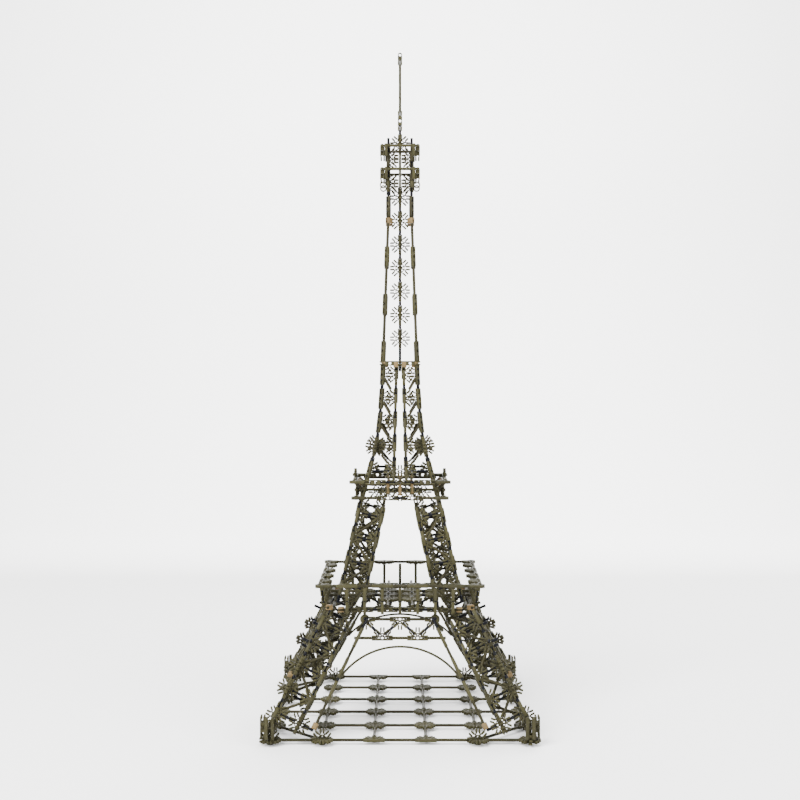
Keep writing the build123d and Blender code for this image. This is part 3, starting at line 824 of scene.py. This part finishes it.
# ---------------------------------------------------------------- flexible arch rods
def arch_shape(points):
    """Flexible rod along an arc: ribbed tube with a plain sleeve at each end."""
    wide = 0 if np.ptp(points[:, 0]) > np.ptp(points[:, 1]) else 1
    across = 1 - wide
    order = np.argsort(points[:, wide])
    start, stop = points[order[:8]].mean(axis=0), points[order[-8:]].mean(axis=0)
    # middle of the rod at its crown
    crown_height, crown_depth = points[:, 2].max(), 3.0
    top = np.zeros(3)
    top[2] = crown_height - ARCH_RIB
    top[across] = points[points[:, 2] > crown_height - crown_depth][:, across].mean()
    rise = top - (start + stop) / 2
    height, half = np.linalg.norm(rise), np.linalg.norm(stop - start) / 2
    up, along = rise / height, (stop - start) / (2 * half)
    radius = (half**2 + height**2) / (2 * height)
    limit = math.asin(min(1.0, half / radius))
    centre = top - up * radius
    normal = np.cross(along, up)
    shape = Shape()
    rings, sides, sleeve_rings = 97, 10, 4
    starts = []
    for ring in range(rings):
        angle = -limit + 2 * limit * ring / (rings - 1)
        outward = up * math.cos(angle) + along * math.sin(angle)
        sleeve = min(ring, rings - 1 - ring) < sleeve_rings
        size = ARCH_SLEEVE if sleeve else (ARCH_RIB if ring % 2 else ARCH_GROOVE)
        starts.append(len(shape.points))
        for side in range(sides):
            turn = 2 * math.pi * side / sides
            spot = centre + outward * (radius + size * math.cos(turn)) + normal * size * math.sin(turn)
            shape.points.append(tuple(spot))
            shape.edge.append(1.0 if sleeve or ring % 2 else 0.1)
    for lower, upper in zip(starts[:-1], starts[1:]):
        shape.wall(lower, upper, sides)
    for first, order in ((starts[0], -1), (starts[-1], 1)):
        for index in range(1, sides - 1):
            shape.faces.append((first, first + index, first + index + 1)[::order])
    return shape.arrays()


# ---------------------------------------------------------------- building
def material_slots():
    """The record's material slot for each node."""
    return {part["node"]: part["material_slot"] for part in frame["record"]["subparts"]}


def joined_mesh(name, pieces):
    """One mesh of many placed pieces, with a tone for each piece."""
    tones = np.random.default_rng(sum(map(ord, name)))
    points, faces, edges, piece_tones, base = [], [], [], [], 0
    for (vertices, triangles, edge), place in pieces:
        moved = vertices @ place[:3, :3].T + place[:3, 3]
        points.append(moved * MM)
        faces.append(triangles + base)
        edges.append(edge)
        piece_tones.append(np.full(len(vertices), tones.random()))
        base += len(vertices)
    points, faces = np.concatenate(points), np.concatenate(faces)
    mesh = bpy.data.meshes.new(name)
    mesh.vertices.add(len(points))
    mesh.vertices.foreach_set("co", points.astype(np.float32).ravel())
    mesh.loops.add(faces.size)
    mesh.loops.foreach_set("vertex_index", faces.astype(np.int32).ravel())
    mesh.polygons.add(len(faces))
    mesh.polygons.foreach_set("loop_start", np.arange(0, faces.size, 3, dtype=np.int32))
    mesh.update(calc_edges=True)
    for label, values in (("piece", piece_tones), ("edge", edges)):
        layer = mesh.attributes.new(label, "FLOAT", "POINT")
        layer.data.foreach_set("value", np.concatenate(values).astype(np.float32))
    mesh.validate()
    return mesh


def dress(*prefixes):
    """Builds the finished pieces of every node whose name starts with one of the prefixes."""
    scene = bpy.context.scene
    slots = material_slots()
    chosen = [name for name in sorted(frame["nodes"]) if name.startswith(prefixes)]
    if not chosen:
        raise RuntimeError("no node is named " + ", ".join(prefixes))
    for name in chosen:
        pieces = []
        for points, triangles in islands(frame["nodes"][name]):
            found = replacement(points, triangles, scene.tower_pieces)
            if found is None:
                found = arch_shape(points), np.eye(4)
            pieces.append(found)
        mesh = joined_mesh(name + "_look", pieces)
        mesh.materials.append(finish_for(slots[name], scene.tower_finish))
        look = linked(name + "_look", mesh)
        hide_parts(name)
        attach(look, "root")
    return {"FINISHED"}


# ---------------------------------------------------------------- stage, in metres
def linked(name, data):
    """A new object in this scene."""
    made = bpy.data.objects.new(name, data)
    bpy.context.scene.collection.objects.link(made)
    return made


def sweep_floor(color):
    """Floor that sweeps up into a backdrop."""
    half, near, bend, radius, top, steps = 4.0, -3.0, 1.6, 1.2, 4.5, 16
    profile = [(near, 0.0), (bend, 0.0)]
    for step in range(1, steps + 1):
        angle = math.pi / 2 * step / steps
        profile.append((bend + radius * math.sin(angle), radius * (1 - math.cos(angle))))
    profile.append((bend + radius, top))
    points = [(x, y, z) for y, z in profile for x in (-half, half)]
    faces = [(2 * i, 2 * i + 1, 2 * i + 3, 2 * i + 2) for i in range(len(profile) - 1)]
    mesh = bpy.data.meshes.new("stage_floor")
    mesh.from_pydata(points, [], faces)
    for polygon in mesh.polygons:
        polygon.use_smooth = True
    finish = Finish("stage_floor")
    place = finish.node("ShaderNodeTexCoord", {}, {}).outputs["Object"]
    shade = finish.blend(finish.noise(place, 3.0), rgba(color), rgba(color, 0.985))
    finish.feed(finish.shader.inputs["Base Color"], shade)
    finish.shader.inputs["Roughness"].default_value = 0.9
    finish.shader.inputs["Specular IOR Level"].default_value = 0.1
    mesh.materials.append(finish.material)
    return linked("stage_floor", mesh)


def soft_lights(power):
    """Key, fill and rim lights, and one that faces the backdrop."""
    # name, place, turn in degrees, size and share of the power
    recipes = (
        ("stage_key", (-1.3, -1.5, 2.2), (48, 0, -40), 1.6, 1.0),
        ("stage_fill", (1.8, -1.2, 1.2), (62, 0, 56), 1.8, 0.28),
        ("stage_rim", (0.6, 1.3, 2.0), (-40, 0, 20), 1.2, 0.25),
        ("stage_backdrop", (0.0, 0.9, 1.5), (90, 0, 0), 2.0, 0.6),
    )
    lamps = []
    for name, place, turn, size, share in recipes:
        light = bpy.data.lights.new(name, "AREA")
        light.energy = power * share
        light.size = size
        lamp = linked(name, light)
        lamp.location = place
        lamp.rotation_euler = [math.radians(angle) for angle in turn]
        lamps.append(lamp)
    return lamps


def white_surroundings(strength):
    """Even white light from all round."""
    world = bpy.data.worlds.new("stage_world")
    world.use_nodes = True
    background = world.node_tree.nodes["Background"]
    background.inputs["Color"].default_value = (1.0, 1.0, 1.0, 1.0)
    background.inputs["Strength"].default_value = strength
    bpy.context.scene.world = world


def front_camera(distance, height):
    """Level camera in front of the tower."""
    data = bpy.data.cameras.new("stage_camera")
    data.sensor_width = 36.0
    data.lens = 55.845
    data.shift_y = -0.03325
    data.clip_end = 50.0
    camera = linked("stage_camera", data)
    camera.location = (0.0, -distance, height)
    camera.rotation_euler = (math.radians(90), 0.0, 0.0)
    bpy.context.scene.camera = camera
    return camera


# ---------------------------------------------------------------- operators
class OBJECT_OT_tower_ground(bpy.types.Operator):
    """Base grid of rods and connectors"""

    bl_idname = "object.tower_ground"
    bl_label = "Base grid"

    def execute(self, context):
        return dress("ground_")


class OBJECT_OT_tower_feet(bpy.types.Operator):
    """Upright connectors that the legs stand in"""

    bl_idname = "object.tower_feet"
    bl_label = "Feet"

    def execute(self, context):
        return dress("foot_")


class OBJECT_OT_tower_legs(bpy.types.Operator):
    """Four lattice legs with their spare pegs"""

    bl_idname = "object.tower_legs"
    bl_label = "Legs"

    def execute(self, context):
        return dress("leg_")


class OBJECT_OT_tower_struts(bpy.types.Operator):
    """Slender struts beside the legs"""

    bl_idname = "object.tower_struts"
    bl_label = "Struts"

    def execute(self, context):
        return dress("strut_")


class OBJECT_OT_tower_arches(bpy.types.Operator):
    """Four arches of flexible rod"""

    bl_idname = "object.tower_arches"
    bl_label = "Arches"

    def execute(self, context):
        return dress("arch_")


class OBJECT_OT_tower_trusses(bpy.types.Operator):
    """Zigzag bands above the arches"""

    bl_idname = "object.tower_trusses"
    bl_label = "Trusses"

    def execute(self, context):
        return dress("truss_")


class OBJECT_OT_tower_platform(bpy.types.Operator):
    """First platform: beams, posts and deck"""

    bl_idname = "object.tower_platform"
    bl_label = "First platform"

    def execute(self, context):
        return dress("platform_", "deck_")


class OBJECT_OT_tower_balcony(bpy.types.Operator):
    """Rail round the first platform"""

    bl_idname = "object.tower_balcony"
    bl_label = "Balcony"

    def execute(self, context):
        return dress("balcony_")


class OBJECT_OT_tower_shoulders(bpy.types.Operator):
    """Four upper legs"""

    bl_idname = "object.tower_shoulders"
    bl_label = "Upper legs"

    def execute(self, context):
        return dress("shoulder_")


class OBJECT_OT_tower_gallery(bpy.types.Operator):
    """Second platform: two rings and the band between them"""

    bl_idname = "object.tower_gallery"
    bl_label = "Second platform"

    def execute(self, context):
        return dress("gallery_")


class OBJECT_OT_tower_shaft(bpy.types.Operator):
    """Tapering shaft with its inner fans and collar"""

    bl_idname = "object.tower_shaft"
    bl_label = "Shaft"

    def execute(self, context):
        return dress("shaft_", "collar_")


class OBJECT_OT_tower_spire(bpy.types.Operator):
    """Spire of long rods round a spine of snowflakes"""

    bl_idname = "object.tower_spire"
    bl_label = "Spire"

    def execute(self, context):
        return dress("spire_", "spine_")


class OBJECT_OT_tower_cabin(bpy.types.Operator):
    """Cabin at the top of the spire"""

    bl_idname = "object.tower_cabin"
    bl_label = "Cabin"

    def execute(self, context):
        return dress("cabin_")


class OBJECT_OT_tower_mast(bpy.types.Operator):
    """Mast on its coupler, with its cap"""

    bl_idname = "object.tower_mast"
    bl_label = "Mast"

    def execute(self, context):
        return dress("mast_")


class OBJECT_OT_tower_clips(bpy.types.Operator):
    """Tan clips and end connectors"""

    bl_idname = "object.tower_clips"
    bl_label = "Tan clips"

    def execute(self, context):
        return dress("tan_")


class OBJECT_OT_tower_stage(bpy.types.Operator):
    """Pale floor and backdrop, soft lights and camera"""

    bl_idname = "object.tower_stage"
    bl_label = "Stage"

    def execute(self, context):
        settings = context.scene.tower_stage
        floor = sweep_floor(settings.floor_color)
        lights = soft_lights(settings.key_power)
        white_surroundings(settings.sky_strength)
        camera = front_camera(settings.camera_distance, settings.camera_height)
        return {"FINISHED"}


OPERATORS = (
    OBJECT_OT_tower_ground,
    OBJECT_OT_tower_feet,
    OBJECT_OT_tower_legs,
    OBJECT_OT_tower_struts,
    OBJECT_OT_tower_arches,
    OBJECT_OT_tower_trusses,
    OBJECT_OT_tower_platform,
    OBJECT_OT_tower_balcony,
    OBJECT_OT_tower_shoulders,
    OBJECT_OT_tower_gallery,
    OBJECT_OT_tower_shaft,
    OBJECT_OT_tower_spire,
    OBJECT_OT_tower_cabin,
    OBJECT_OT_tower_mast,
    OBJECT_OT_tower_clips,
    OBJECT_OT_tower_stage,
)


class VIEW3D_PT_tower(bpy.types.Panel):
    """Buttons for the tower's groups of pieces"""

    bl_label = "Lattice Tower"
    bl_idname = "VIEW3D_PT_tower"
    bl_space_type = "VIEW_3D"
    bl_region_type = "UI"
    bl_category = "Tower"

    def draw(self, context):
        for settings in (context.scene.tower_pieces, context.scene.tower_finish, context.scene.tower_stage):
            for name in type(settings).__annotations__:
                self.layout.prop(settings, name)
        for operator in OPERATORS:
            self.layout.operator(operator.bl_idname)


CLASSES = (TowerPieceSettings, TowerFinishSettings, TowerStageSettings, *OPERATORS, VIEW3D_PT_tower)


def register():
    for cls in CLASSES:
        bpy.utils.register_class(cls)
    bpy.types.Scene.tower_pieces = PointerProperty(type=TowerPieceSettings)
    bpy.types.Scene.tower_finish = PointerProperty(type=TowerFinishSettings)
    bpy.types.Scene.tower_stage = PointerProperty(type=TowerStageSettings)


def unregister():
    del bpy.types.Scene.tower_stage
    del bpy.types.Scene.tower_finish
    del bpy.types.Scene.tower_pieces
    for cls in reversed(CLASSES):
        bpy.utils.unregister_class(cls)


def main():
    register()
    for operator in OPERATORS:
        category, name = operator.bl_idname.split(".")
        getattr(getattr(bpy.ops, category), name)()


if __name__ == "__main__":
    main()
